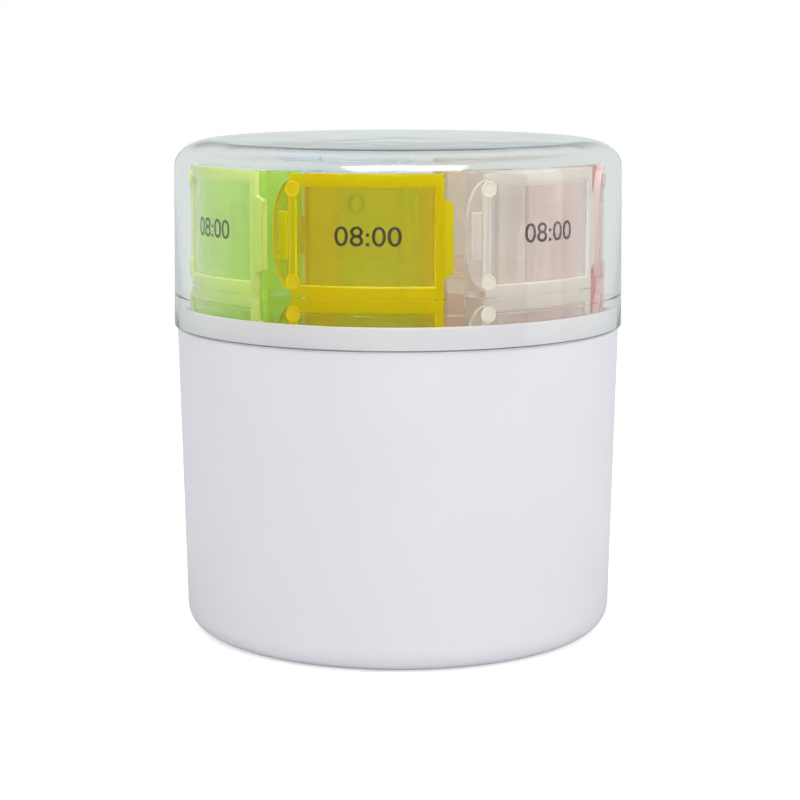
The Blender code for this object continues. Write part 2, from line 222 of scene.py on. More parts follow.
def polystyrene(name, tint, shadow_tint, clarity=0.9, ior=1.42, roughest=0.05):
    """Clear or tinted plastic that bends the view and lets a lamp's light straight through."""
    material, tree, output = blank_material(name)
    place = add_node(tree, "ShaderNodeTexCoord").outputs["Object"]
    flow = add_node(
        tree, "ShaderNodeTexNoise", Vector=place, Scale=1 / FLOW_LENGTH, Detail=2.0, Roughness=0.5
    )
    shine = add_node(
        tree, "ShaderNodeMapRange", Value=flow.outputs["Fac"], To_Min=SMOOTHEST, To_Max=roughest
    )
    waves = add_node(
        tree, "ShaderNodeBump", Strength=0.2, Distance=FLOW_HEIGHT, Height=flow.outputs["Fac"]
    )
    shader = add_node(
        tree, "ShaderNodeBsdfPrincipled", Base_Color=(*linear(tint), 1), IOR=ior,
        Roughness=shine.outputs["Result"], Normal=waves.outputs["Normal"],
        Transmission_Weight=clarity,
    )
    lamp_ray = add_node(tree, "ShaderNodeLightPath").outputs["Is Shadow Ray"]
    passed = add_node(tree, "ShaderNodeBsdfTransparent", Color=(*linear(shadow_tint), 1))
    mixed = add_node(
        tree, "ShaderNodeMixShader", _0=lamp_ray, _1=shader.outputs["BSDF"],
        _2=passed.outputs["BSDF"],
    )
    tree.links.new(mixed.outputs["Shader"], output.inputs["Surface"])
    return material


cover_material = polystyrene(
    "clear_polystyrene_cover", "#fdfdfb", "#ffffff", clarity=1.0, ior=1.47, roughest=0.03
)
# The foot's grey, half-clear plastic is a painted shade that draws the dark line at the seam.
foot_painted_shade_material = polystyrene(
    "clear_polystyrene_foot_painted_shade", "#868d92", "#ffffff", clarity=0.35, roughest=0.2
)
print("made", cover_material.name, "and", foot_painted_shade_material.name)

# %% [markdown]
# ### Four looks of one tint
#
# A tinted box isn't one colour. A panel seen straight through is pale. A side wall, which the eye
# meets almost along its length, is deeper. The raised frame is thick and a little milky, and its
# rounded rims gather light and glow. Real plastic does all this with one dye, through the length
# of the way the light takes inside it. Here each kind of face gets its own depth of the tint, and
# rims and frames let less light straight through. The rims' glow is painted: their tint is lighter
# than the frame's and less clear, so they look lit. The frame look is a deeper tint for the frame's
# thickness and partly a painted glow. The days run from the yellow box at the front round to the
# right. Each has the hex colours of its panel, side wall, frame and rim, and last what the plastic
# leaves of a lamp's light.

# %% Tints of the seven days
DAY_TINTS = {
    "yellow": ("#e6df64", "#f6e00a", "#e7d20e", "#efdc22", "#fefad0"),
    "clear": ("#f6f4f3", "#eee8e5", "#ebe9e1", "#f6f2e8", "#fefefd"),
    "pink": ("#edd0d1", "#e2c0bf", "#e9cac8", "#f2d8d5", "#fdf0f0"),
    "orange": ("#efe7dc", "#dfd5c8", "#e8dac7", "#f1e5d5", "#fef7f0"),
    "blue": ("#e6f2fb", "#deedf9", "#e1effa", "#ecf5fc", "#eef7fd"),
    "lilac": ("#eee9f8", "#e5dcf4", "#e8e0f5", "#f1ecfa", "#f5f1fc"),
    "green": ("#eaf8b0", "#ccf186", "#e6f694", "#eefaa6", "#f2fce2"),
}
# The rim look is a painted glow. The frame look is a deeper tint for thickness with a painted glow.
FACE_LOOKS = {"panel": 0.88, "wall": 0.8, "frame": 0.5, "rim": 0.4}  # name and clearness
PANEL, WALL, FRAME_DEEPER_AND_PAINTED_GLOW, RIM_PAINTED_GLOW = range(len(FACE_LOOKS))

day_materials = {}
for tint, (*depths, shadow_tint) in DAY_TINTS.items():
    day_materials[tint] = [
        polystyrene(f"{tint}_polystyrene_{look}", depth, shadow_tint, clarity=clarity)
        for depth, (look, clarity) in zip(depths, FACE_LOOKS.items())
    ]
print("made", len(day_materials), "tints with", len(FACE_LOOKS), "looks each")

# %% [markdown]
# ## Printing ink
#
# The times on the lids are pad printed: a thin flat film of dark grey ink, matt beside the
# polished plastic, and a touch uneven where the pad left less of it.

# %% Ink
INK_PATCH_LENGTH = 0.9 * MM
INK_TONES = ("#2c2620", "#4a4238")


def printing_ink():
    """Matt dark grey, a little uneven in tone."""
    material, tree, output = blank_material("pad_printed_ink")
    place = add_node(tree, "ShaderNodeTexCoord").outputs["Object"]
    film = add_node(
        tree, "ShaderNodeTexNoise", Vector=place, Scale=1 / INK_PATCH_LENGTH, Detail=2.0
    )
    shader = add_node(
        tree, "ShaderNodeBsdfPrincipled", Roughness=0.6,
        Base_Color=tone_between(tree, film.outputs["Fac"], INK_TONES),
    )
    tree.links.new(shader.outputs["BSDF"], output.inputs["Surface"])
    return material


ink_material = printing_ink()
print("made", ink_material.name)

# %% [markdown]
# ## Turned pieces: the cup and the cover
#
# Both are round, so each is half an outline spun about the axis. The outline runs right round the
# wall, outside and inside, so the wall has its true thickness everywhere. Every corner a finger
# could feel is a small arc, because a mould has no sharp edges and an edge with no radius never
# catches the light.

# %% Spin an outline
TURN_STEPS = 160
SOFT_EDGE_ANGLE = radians(35)
SHARP_ANGLE = radians(40)


def finished(name, shape, materials, body, nodes, soft_edge=0.0):
    """Turns a bmesh into a named piece that rides on its body and stands for its nodes."""
    mesh = bpy.data.meshes.new(name)
    shape.to_mesh(mesh)
    shape.free()
    mesh.shade_smooth()
    for material in materials:
        mesh.materials.append(material)
    piece = bpy.data.objects.new(name, mesh)
    bpy.context.collection.objects.link(piece)
    if soft_edge:
        bevel = piece.modifiers.new("soft_edges", "BEVEL")
        bevel.width = soft_edge
        bevel.segments = 2
        bevel.limit_method = "ANGLE"
        bevel.angle_limit = SOFT_EDGE_ANGLE
        bevel.harden_normals = True
    else:
        mesh.set_sharp_from_angle(angle=SHARP_ANGLE)
    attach(piece, body)
    if nodes:
        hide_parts(*nodes)
    return piece


def spun(outline):
    """A closed solid from a half outline that starts and ends on the axis."""
    shape = bmesh.new()
    corners = [shape.verts.new((radius, 0, height)) for radius, height in outline]
    edges = [shape.edges.new(pair) for pair in zip(corners, corners[1:])]
    bmesh.ops.spin(
        shape, geom=corners + edges, axis=(0, 0, 1), cent=(0, 0, 0), angle=2 * pi,
        steps=TURN_STEPS, use_merge=True,
    )
    bmesh.ops.remove_doubles(shape, verts=shape.verts, dist=MERGE_DISTANCE)
    bmesh.ops.recalc_face_normals(shape, faces=shape.faces)
    return shape


print("turn steps", TURN_STEPS)

# %% [markdown]
# ## The holder cup
#
# A tapered tumbler on a foot ring. Its outside steps in at the top to a neck that is thinner by the
# cover's wall, so that the cover sits flush over it. The neck's rim is rounded over, which gives
# the bright line seen through the cover.

# %% Holder cup
COVER_SKIRT_WALL = 1.4 * MM
CUP_DRAFT = 1.6 * MM
CUP_WALL = 2.2 * MM
CUP_FOOT_WALL = 1.1 * MM
CUP_FLOOR = 2.0 * MM
INNER_FILLET = 0.6 * MM
BASE_FILLET = 5.8 * MM
FOOT_RING_WIDTH = 2.8 * MM
FOOT_RECESS = 0.8 * MM
RIM_ROUND = 0.45 * MM
SEAM_ROUND = 0.35 * MM
BASE_STEPS = 14
RIM_STEPS = 5
SMALL_STEPS = 4

SKIRT_BORE = COVER_RADIUS - COVER_SKIRT_WALL
NECK_RADIUS = SKIRT_BORE - SEAT_GAP
CUP_BORE = CUP_RADIUS - CUP_WALL
CUP_FOOT_RADIUS = CUP_RADIUS - CUP_DRAFT
CUP_FOOT_BORE = CUP_FOOT_RADIUS - CUP_FOOT_WALL
FOOT_OUTER = CUP_FOOT_RADIUS - BASE_FILLET


def cup_outline():
    """The cup from the middle of its underside, up the outside and down the inside."""
    rim = (RIM_ROUND, RIM_ROUND)
    fillet = (BASE_FILLET, BASE_FILLET)
    seam = (SEAM_ROUND, SEAM_ROUND)
    inner = (INNER_FILLET, INNER_FILLET)
    foot_inner = FOOT_OUTER - FOOT_RING_WIDTH
    return [
        (0, FOOT_RECESS),
        (foot_inner - FOOT_RECESS, FOOT_RECESS),
        (foot_inner, 0),
        *ellipse_arc((FOOT_OUTER, BASE_FILLET), fillet, -pi / 2, 0, BASE_STEPS),
        *ellipse_arc(
            (CUP_RADIUS - SEAM_ROUND, SEAM_HEIGHT - SEAM_ROUND), seam, 0, pi / 2, SMALL_STEPS
        ),
        (NECK_RADIUS, SEAM_HEIGHT),
        *ellipse_arc((NECK_RADIUS - RIM_ROUND, NECK_TOP - RIM_ROUND), rim, 0, pi / 2, RIM_STEPS),
        *ellipse_arc((CUP_BORE + RIM_ROUND, NECK_TOP - RIM_ROUND), rim, pi / 2, pi, RIM_STEPS),
        *ellipse_arc(
            (CUP_FOOT_BORE - INNER_FILLET, CUP_FLOOR + INNER_FILLET), inner, 0, -pi / 2,
            SMALL_STEPS,
        ),
        (0, CUP_FLOOR),
    ]


cup = finished(
    "cup_shell", spun(cup_outline()), [cup_material], "holder", ["holder_cup"]
)
print("cup faces", len(cup.data.polygons))

# %% [markdown]
# ## The clear cover
#
# A flat top, an elliptical shoulder and a straight skirt with a hair of draft. Inside, the wall
# thickens a little above the neck, and that shallow step draws the thin line seen round the cover.
# The skirt's foot is an edge of clear plastic seen end on. It is made of a grey, half-clear
# plastic, a painted shade that draws the dark line at the seam.

# %% Clear cover
COVER_DRAFT = 0.5 * MM
COVER_WALL = 1.5 * MM
COVER_STEP_RISE = 2.5 * MM
COVER_STEP = 0.12 * MM
COVER_STEP_LENGTH = 0.6 * MM
SHOULDER_REACH = 9.4 * MM
SHOULDER_RISE = 6.3 * MM
SHOULDER_STEPS = 18
SKIRT_ROUND = 0.3 * MM
TAPER_STEPS = 8

COVER_SHOULDER_RADIUS = COVER_RADIUS - COVER_DRAFT
COVER_FLAT_RADIUS = COVER_SHOULDER_RADIUS - SHOULDER_REACH


def cover_outline():
    """The cover from the middle of its top, down the outside and up the inside."""
    centre = (COVER_FLAT_RADIUS, TOTAL_HEIGHT - SHOULDER_RISE)
    outer = (SHOULDER_REACH, SHOULDER_RISE)
    inner = (SHOULDER_REACH - COVER_WALL, SHOULDER_RISE - COVER_WALL)
    edge = (SKIRT_ROUND, SKIRT_ROUND)
    lip_height = SKIRT_FOOT + SKIRT_ROUND
    step = NECK_TOP + COVER_STEP_RISE
    taper = [
        (
            SKIRT_BORE - COVER_STEP * (1 - cos(pi * count / TAPER_STEPS)) / 2,
            step + (count / TAPER_STEPS - 1 / 2) * COVER_STEP_LENGTH,
        )
        for count in range(TAPER_STEPS + 1)
    ]
    return [
        (0, TOTAL_HEIGHT),
        *ellipse_arc(centre, outer, pi / 2, 0, SHOULDER_STEPS),
        *ellipse_arc((COVER_RADIUS - SKIRT_ROUND, lip_height), edge, 0, -pi / 2, SMALL_STEPS),
        *ellipse_arc((SKIRT_BORE + SKIRT_ROUND, lip_height), edge, -pi / 2, -pi, SMALL_STEPS),
        *taper,
        *ellipse_arc(centre, inner, 0, pi / 2, SHOULDER_STEPS),
        (0, TOTAL_HEIGHT - COVER_WALL),
    ]


cover_looks = [cover_material, foot_painted_shade_material]
cover_shape = spun(cover_outline())
# The skirt's foot ring takes the grey foot plastic, a painted shade for the seam's dark line.
for face in cover_shape.faces:
    if face.calc_center_median().z < SKIRT_FOOT + SKIRT_ROUND:
        face.material_index = cover_looks.index(foot_painted_shade_material)
cover = finished(
    "cover_shell", cover_shape, cover_looks, "cover", ["clear_cover"]
)
print("cover faces", len(cover.data.polygons))

# %% [markdown]
# ## The day boxes
#
# Each box is a wedge of a ring, 113 mm high. It starts as its outline seen from above, raised to a
# column. Four stretches of its curved front are then pushed inwards to make the compartments, which
# leaves side walls and shelves of one thickness. Ears for the hinge pins stand on its right side,
# and beads for the catches on its left.

# %% Tray
TRAY_OUTER = 48.6 * MM
TRAY_INNER = 32.0 * MM
TRAY_HALF_ANGLE = radians(18.0)
TRAY_WALL = 1.2 * MM
TRAY_COLUMNS = 20
TRAY_EDGE = 0.3 * MM
BACK_CORNER = 1.6 * MM
BACK_CORNER_STEPS = 4

BARREL_RADIUS = 0.7 * MM
STUB_RADIUS = 0.45 * MM
HINGE_CLEARANCE = 0.3 * MM
LUG_WALL = 0.4 * MM
LUG_HALF_HEIGHT = 1.2 * MM
PIN_STEPS = 20
HINGE_RADIUS = TRAY_OUTER - BARREL_RADIUS - HINGE_CLEARANCE
HINGE_AZIMUTH = TRAY_HALF_ANGLE + asin((BARREL_RADIUS + HINGE_CLEARANCE) / HINGE_RADIUS)
ISLAND_GAP = 0.03 * MM  # two clear bodies that touch are drawn a hair apart
EAR_GAP = 0.15 * MM


def new_verts(grown):
    """The corners that an extrusion has added."""
    return [item for item in grown["geom"] if isinstance(item, bmesh.types.BMVert)]


def column(corners, low, high):
    """A straight column over a flat outline of points, from one height to another."""
    shape = bmesh.new()
    face = shape.faces.new([shape.verts.new((point[0], point[1], low)) for point in corners])
    grown = bmesh.ops.extrude_face_region(shape, geom=[face])
    bmesh.ops.translate(shape, verts=new_verts(grown), vec=(0, 0, high - low))
    bmesh.ops.recalc_face_normals(shape, faces=shape.faces)
    return shape


def small_block(azimuth, outward, across, low, high):
    """A block seen from above: its reach from the axis, and its reach to the two sides."""
    along = on_circle(azimuth, 1)
    aside = on_circle(azimuth + pi / 2, 1)
    corners = [
        along * outward[0] + aside * across[0],
        along * outward[1] + aside * across[0],
        along * outward[1] + aside * across[1],
        along * outward[0] + aside * across[1],
    ]
    return column(corners, low, high)


def round_post(azimuth, from_axis, radius, low, high):
    """An upright pin at a place on the ring."""
    centre = on_circle(azimuth, from_axis)
    turns = [2 * pi * step / PIN_STEPS for step in range(PIN_STEPS)]
    corners = [centre + Vector((radius * cos(turn), radius * sin(turn), 0)) for turn in turns]
    return column(corners, low, high)


def ear_ring(azimuth, from_axis, outer, bore, low, high):
    """A short tube, such as a hinge ear, spun about its own upright axis."""
    centre = on_circle(azimuth, from_axis)
    shape = bmesh.new()
    outline = [(outer, low), (outer, high), (bore, high), (bore, low)]
    corners = [shape.verts.new((centre.x + reach, centre.y, height)) for reach, height in outline]
    face = shape.faces.new(corners)
    bmesh.ops.spin(
        shape, geom=[face], axis=(0, 0, 1), cent=centre, angle=2 * pi, steps=PIN_STEPS,
        use_merge=True,
    )
    bmesh.ops.remove_doubles(shape, verts=shape.verts, dist=MERGE_DISTANCE)
    inside = [item for item in shape.faces if all(len(edge.link_faces) > 2 for edge in item.edges)]
    bmesh.ops.delete(shape, geom=inside, context="FACES")
    bmesh.ops.recalc_face_normals(shape, faces=shape.faces)
    return shape


def join_into(shape, *others):
    """Adds other bodies to a shape as separate islands."""
    for other in others:
        mesh = bpy.data.meshes.new("island")
        other.to_mesh(mesh)
        other.free()
        shape.from_mesh(mesh)
        bpy.data.meshes.remove(mesh)


def level_height(level):
    """Middle of a compartment, counted from the top one down."""
    return TRAY_TOP - (level + 1 / 2) * LEVEL_PITCH


def front_faces(shape, mouth):
    """Faces of the curved front that lie between the two side walls."""
    nearest = TRAY_OUTER * cos(mouth / TRAY_COLUMNS) - MERGE_DISTANCE
    found = []
    for face in shape.faces:
        middle = face.calc_center_median()
        turn = atan2(middle.x, -middle.y)
        outward = face.normal.dot(on_circle(turn, 1))
        at_front = hypot(middle.x, middle.y) > nearest
        if abs(outward) > FACING and at_front and abs(turn) < mouth:
            found.append(face)
    return found


def tray_body():
    """The wedge column with its four compartments."""
    mouth = TRAY_HALF_ANGLE - asin(TRAY_WALL / TRAY_OUTER)
    turns = [mouth * (2 * step / TRAY_COLUMNS - 1) for step in range(TRAY_COLUMNS + 1)]
    front = [on_circle(turn, TRAY_OUTER) for turn in (-TRAY_HALF_ANGLE, *turns, TRAY_HALF_ANGLE)]
    end = TRAY_INNER / cos(TRAY_HALF_ANGLE)
    back = [on_circle(turn, end) for turn in (TRAY_HALF_ANGLE, -TRAY_HALF_ANGLE)]
    shape = column(front + back, TRAY_BASE, TRAY_TOP)
    back_edges = [
        edge for edge in shape.edges
        if all(hypot(vert.co.x, vert.co.y) < end + MERGE_DISTANCE for vert in edge.verts)
        and abs(edge.verts[0].co.z - edge.verts[1].co.z) > LEVEL_PITCH
    ]
    bmesh.ops.bevel(
        shape, geom=back_edges, offset=BACK_CORNER, offset_type="OFFSET",
        segments=BACK_CORNER_STEPS, profile=0.5, affect="EDGES", material=-1,
    )
    depth = TRAY_INNER + TRAY_WALL
    end_half = (depth * sin(TRAY_HALF_ANGLE) - TRAY_WALL) / cos(TRAY_HALF_ANGLE)
    half = (LEVEL_PITCH - TRAY_WALL) / 2
    for level in range(LEVEL_COUNT):
        middle = level_height(level)
        for height in (middle - half, middle + half):
            fronts = front_faces(shape, mouth)
            edges = {edge for face in fronts for edge in face.edges}
            verts = {vert for face in fronts for vert in face.verts}
            bmesh.ops.bisect_plane(
                shape, geom=[*verts, *edges, *fronts], plane_co=(0, 0, height),
                plane_no=(0, 0, 1), dist=MERGE_DISTANCE,
            )
    for level in range(LEVEL_COUNT):
        middle = level_height(level)
        mouth_faces = [
            face for face in front_faces(shape, mouth)
            if abs(face.calc_center_median().z - middle) < half / 2
        ]
        grown = bmesh.ops.extrude_face_region(shape, geom=mouth_faces)
        for vert in new_verts(grown):
            across = atan2(vert.co.x, -vert.co.y) / mouth
            vert.co = Vector((across * end_half, -depth, vert.co.z))
        bmesh.ops.delete(shape, geom=mouth_faces, context="FACES")
    bmesh.ops.recalc_face_normals(shape, faces=shape.faces)
    for face in shape.faces:
        middle = face.calc_center_median()
        outward = face.normal.dot(on_circle(atan2(middle.x, -middle.y), 1))
        if abs(face.normal.z) < ASIDE and abs(outward) < ASIDE:
            face.material_index = WALL
    # The cut front edges of the walls and shelves take the frame look, a deeper tint with a painted
    # glow.
    for face in front_faces(shape, mouth):
        face.material_index = FRAME_DEEPER_AND_PAINTED_GLOW
    return shape


BEAD_PROUD = 0.7 * MM
BEAD_DEPTH = 0.9 * MM
BEAD_HALF_HEIGHT = 3.0 * MM
BEAD_INSET = 0.7 * MM


def tray():
    """A whole tray at azimuth zero: its body, five hinge ears and four catch beads."""
    shape = tray_body()
    lug_radius = STUB_RADIUS + HINGE_CLEARANCE + LUG_WALL
    for floor in range(LEVEL_COUNT + 1):
        height = TRAY_BASE + floor * LEVEL_PITCH
        low = max(height - LUG_HALF_HEIGHT, TRAY_BASE)
        high = min(height + LUG_HALF_HEIGHT, TRAY_TOP)
        join_into(shape, ear_ring(
            HINGE_AZIMUTH, HINGE_RADIUS, lug_radius - EAR_GAP, STUB_RADIUS + HINGE_CLEARANCE,
            low, high,
        ))
    for level in range(LEVEL_COUNT):
        reach = TRAY_OUTER - BEAD_INSET
        middle = level_height(level)
        join_into(shape, small_block(
            -TRAY_HALF_ANGLE, (reach - BEAD_DEPTH, reach), (-BEAD_PROUD, -ISLAND_GAP),
            middle - BEAD_HALF_HEIGHT, middle + BEAD_HALF_HEIGHT,
        ))
    return shape


tray_shape = tray()
print("tray faces", len(tray_shape.faces))

# %% [markdown]
# ## The lids
#
# A lid is easiest to draw unrolled: along the curve, into the depth, and up. It is a frame with a
# bowed finger lip on its left and a hinge tab on its right. Its panel and the inside of the lip are
# inset and sunk, which leaves the raised frame and the thin bead that runs round the lip. Then it
# is sliced into narrow strips and bent round the axis, so that light runs smoothly over it.

# %% Lid
LID_GAP = 0.3 * MM
LID_THICKNESS = 1.6 * MM
LID_INNER = TRAY_OUTER + LID_GAP
LID_OUTER = LID_INNER + LID_THICKNESS
LID_HALF_HEIGHT = (LEVEL_PITCH - LID_GAP) / 2
PANEL_LEFT = radians(-20.0)
PANEL_RIGHT = radians(17.0)
PANEL_MARGIN = 2.6 * MM
PANEL_RECESS = 0.5 * MM
PANEL_DRAFT = 0.35 * MM
FRAME_LEFT = radians(-21.2)
FRAME_RIGHT = radians(18.9)
LIP_REACH = radians(5.6)
LIP_DROP = 1.5 * MM
LIP_BEAD = 0.8 * MM
LIP_RECESS = 0.35 * MM
PAD_HALF_HEIGHT = 5.4 * MM
PAD_LEFT = radians(-25.0)
PAD_RIGHT = radians(-22.3)
PAD_RISE = 0.3 * MM
TAB_REACH = radians(2.7)
TAB_TOP = LID_HALF_HEIGHT - 5.3 * MM
TAB_BOTTOM = LID_HALF_HEIGHT - 4.5 * MM
TAB_SLOPE = 1.2 * MM
LID_EDGE = 0.28 * MM
STRIP_ANGLE = radians(1.5)
STUD_RADIUS = 1.9 * MM
STUD_PROUD = 0.3 * MM
STUD_RIM = 0.6 * MM
STUD_DISH = 0.15 * MM
STUD_SOFT = 0.2 * MM
STUD_RISE = LID_HALF_HEIGHT - 3.5 * MM
STUD_AZIMUTH = radians(-20.5)
STUD_STEPS = 28
LIP_STEPS = 18
CREASE_ANGLE = radians(25)
FAR = 1.0  # past every piece


def lid_outline():
    """The lid unrolled, as distance along the curve and height."""
    lip_top = LID_HALF_HEIGHT - LIP_DROP
    turns = [pi * step / LIP_STEPS for step in range(LIP_STEPS + 1)]
    lip = [(FRAME_LEFT - LIP_REACH * sin(turn), lip_top * cos(turn)) for turn in turns]
    points = [
        (FRAME_LEFT, LID_HALF_HEIGHT),
        *lip,
        (FRAME_LEFT, -LID_HALF_HEIGHT),
        (FRAME_RIGHT, -LID_HALF_HEIGHT),
        (FRAME_RIGHT, -TAB_BOTTOM),
        (FRAME_RIGHT + TAB_REACH, TAB_SLOPE - TAB_BOTTOM),
        (FRAME_RIGHT + TAB_REACH, TAB_TOP - TAB_SLOPE),
        (FRAME_RIGHT, TAB_TOP),
        (FRAME_RIGHT, LID_HALF_HEIGHT),
    ]
    return [(azimuth * LID_OUTER, height) for azimuth, height in points]


def cut_faces(shape, faces, point, normal):
    """Slices only the given faces with a plane."""
    edges = {edge for face in faces for edge in face.edges}
    verts = {vert for face in faces for vert in face.verts}
    bmesh.ops.bisect_plane(
        shape, geom=[*verts, *edges, *faces], plane_co=point, plane_no=normal, dist=MERGE_DISTANCE
    )


def outer_faces(shape, depth, low, high, reach):
    """Faces at one depth, with their middle between two places along and within a height."""
    return [
        face for face in shape.faces
        if abs(face.calc_center_median().y - depth) < MERGE_DISTANCE
        and abs(face.normal.y) > FACING
        and low < face.calc_center_median().x < high
        and abs(face.calc_center_median().z) < reach
    ]


def bent(shape):
    """Slices a flat drawing into strips and bends it round the organizer's axis."""
    places = [vert.co.x for vert in shape.verts]
    strip = STRIP_ANGLE * LID_OUTER
    first = ceil(min(places) / strip)
    last = int(max(places) // strip)
    for count in range(first, last + 1):
        bmesh.ops.bisect_plane(
            shape, geom=shape.verts[:] + shape.edges[:] + shape.faces[:],
            plane_co=(count * strip, 0, 0), plane_no=(1, 0, 0), dist=MERGE_DISTANCE,
        )
    for vert in shape.verts:
        vert.co = on_circle(vert.co.x / LID_OUTER, -vert.co.y, vert.co.z)


def lid_plate():
    """The lid without its studs and pins: drawn flat, cut, sunk, softened and bent."""
    shape = bmesh.new()
    corners = [shape.verts.new((along, -LID_OUTER, height)) for along, height in lid_outline()]
    front = shape.faces.new(corners)
    grown = bmesh.ops.extrude_face_region(shape, geom=[front])
    bmesh.ops.translate(shape, verts=new_verts(grown), vec=(0, LID_THICKNESS, 0))
    bmesh.ops.recalc_face_normals(shape, faces=shape.faces)
    left, right = FRAME_LEFT * LID_OUTER, FRAME_RIGHT * LID_OUTER
    panel_left, panel_right = PANEL_LEFT * LID_OUTER, PANEL_RIGHT * LID_OUTER
    panel_half = LID_HALF_HEIGHT - PANEL_MARGIN
    surface = -LID_OUTER
    everywhere = LID_HALF_HEIGHT
    for place in (left, panel_left, panel_right):
        faces = outer_faces(shape, surface, -FAR, FAR, everywhere)
        cut_faces(shape, faces, (place, 0, 0), (1, 0, 0))
    for height in (-panel_half, panel_half):
        faces = outer_faces(shape, surface, panel_left, panel_right, everywhere)
        cut_faces(shape, faces, (0, 0, height), (0, 0, 1))
    panel = outer_faces(shape, surface, panel_left, panel_right, panel_half)
    bmesh.ops.inset_region(
        shape, faces=panel, thickness=PANEL_DRAFT, depth=-PANEL_RECESS, use_even_offset=True
    )
    lip = outer_faces(shape, surface, left - LIP_REACH * LID_OUTER, left, everywhere)
    bmesh.ops.inset_region(
        shape, faces=lip, thickness=LIP_BEAD, depth=-LIP_RECESS, use_even_offset=True
    )
    sunk = surface + LIP_RECESS
    for place in (PAD_LEFT * LID_OUTER, PAD_RIGHT * LID_OUTER):
        faces = outer_faces(shape, sunk, -FAR, left, everywhere)
        cut_faces(shape, faces, (place, 0, 0), (1, 0, 0))
    for height in (-PAD_HALF_HEIGHT, PAD_HALF_HEIGHT):
        faces = outer_faces(shape, sunk, PAD_LEFT * LID_OUTER, PAD_RIGHT * LID_OUTER, everywhere)
        cut_faces(shape, faces, (0, 0, height), (0, 0, 1))
    pad = outer_faces(
        shape, sunk, PAD_LEFT * LID_OUTER, PAD_RIGHT * LID_OUTER, PAD_HALF_HEIGHT
    )
    bmesh.ops.inset_region(
        shape, faces=pad, thickness=PAD_RISE / 2, depth=PAD_RISE, use_even_offset=True
    )
    sharp = [edge for edge in shape.edges if edge.calc_face_angle(0) > CREASE_ANGLE]
    bmesh.ops.bevel(
        shape, geom=sharp, offset=LID_EDGE / 2, offset_type="OFFSET", segments=2, profile=0.5,
        affect="EDGES", material=-1, clamp_overlap=True,
    )
    # Sides, bevels and the lip's bead take the rim look, a painted glow. The raised frame and the
    # finger pad take the frame look, a deeper tint with a painted glow.
    for face in shape.faces:
        middle = face.calc_center_median()
        raised = middle.y < surface + LIP_RECESS / 2
        on_pad = PAD_LEFT * LID_OUTER < middle.x < PAD_RIGHT * LID_OUTER
        if abs(face.normal.y) < FACING or (raised and middle.x < left and not on_pad):
            face.material_index = RIM_PAINTED_GLOW
        elif raised and middle.x < right:
            face.material_index = FRAME_DEEPER_AND_PAINTED_GLOW
    bent(shape)
    return shape


def stud(height):
    """A low round boss with a soft rim on the lid's left frame bar."""
    shape = bmesh.new()
    bmesh.ops.create_cone(
        shape, cap_ends=True, segments=STUD_STEPS, radius1=STUD_RADIUS, radius2=STUD_RADIUS,
        depth=STUD_PROUD,
    )
    top = [face for face in shape.faces if face.normal.z > FACING]
    bmesh.ops.inset_region(shape, faces=top, thickness=STUD_RIM, use_even_offset=True)
    bmesh.ops.inset_region(
        shape, faces=top, thickness=STUD_DISH, depth=-STUD_DISH, use_even_offset=True
    )
    rim = [
        edge for edge in shape.edges
        if all(abs(vert.co.z - STUD_PROUD / 2) < MERGE_DISTANCE for vert in edge.verts)
        and edge.calc_face_angle(0) > CREASE_ANGLE
    ]
    bmesh.ops.bevel(
        shape, geom=rim, offset=STUD_SOFT, offset_type="OFFSET", segments=2, profile=0.5,
        affect="EDGES", material=-1,
    )
    # The whole boss takes the rim look, a painted glow.
    for face in shape.faces:
        face.material_index = RIM_PAINTED_GLOW
    reach = LID_OUTER + STUD_PROUD / 2 + ISLAND_GAP
    turn = Matrix.Rotation(STUD_AZIMUTH, 4, "Z") @ Matrix.Rotation(pi / 2, 4, "X")
    centre = on_circle(STUD_AZIMUTH, reach, height)
    bmesh.ops.transform(shape, matrix=Matrix.Translation(centre) @ turn, verts=shape.verts)
    return shape


STUB_LENGTH = 1.1 * MM
WEB_WIDTH = 0.9 * MM
RIB_WIDTH = 1.0 * MM
RIB_LENGTH = 2.4 * MM
RIB_HALF_HEIGHT = 4.2 * MM
CATCH_CLEARANCE = 0.55 * MM


def lid():
    """A whole lid at azimuth zero and height zero."""
    shape = lid_plate()
    barrel_half = LEVEL_PITCH / 2 - LUG_HALF_HEIGHT - HINGE_CLEARANCE
    stub_half = barrel_half + STUB_LENGTH
    rib_side = BEAD_PROUD + CATCH_CLEARANCE
    inner = LID_INNER - ISLAND_GAP
    join_into(
        shape,
        stud(STUD_RISE),
        stud(-STUD_RISE),
        round_post(HINGE_AZIMUTH, HINGE_RADIUS, BARREL_RADIUS, -barrel_half, barrel_half),
        round_post(HINGE_AZIMUTH, HINGE_RADIUS, STUB_RADIUS, barrel_half + ISLAND_GAP, stub_half),
        round_post(HINGE_AZIMUTH, HINGE_RADIUS, STUB_RADIUS, -stub_half, -barrel_half - ISLAND_GAP),
        small_block(
            HINGE_AZIMUTH, (HINGE_RADIUS + BARREL_RADIUS + ISLAND_GAP, inner),
            (-WEB_WIDTH / 2, WEB_WIDTH / 2), TAB_SLOPE - TAB_BOTTOM, TAB_TOP - TAB_SLOPE,
        ),
        small_block(
            -TRAY_HALF_ANGLE, (LID_INNER - RIB_LENGTH, inner),
            (-rib_side - RIB_WIDTH, -rib_side), -RIB_HALF_HEIGHT, RIB_HALF_HEIGHT,
        ),
    )
    return shape


lid_shape = lid()
print("lid faces", len(lid_shape.faces))

# %% [markdown]
# ## The printed times
#
# Each level has its time of day in plain figures. Text starts as a font curve, is made a mesh,
# scaled to the width and height of the print, given the thickness of a film of ink, and bent round
# the panel like the lid itself.

# %% Printed times
PRINT_WIDTH = 15.3 * MM
PRINT_HEIGHT = 4.4 * MM
PRINT_SHIFT = -0.4 * MM
PRINT_RISE = 0.2 * MM
INK_FILM = 0.03 * MM
INK_LIFT = 0.02 * MM
TIMES = ("08:00", "12:00", "18:00", "22:00")


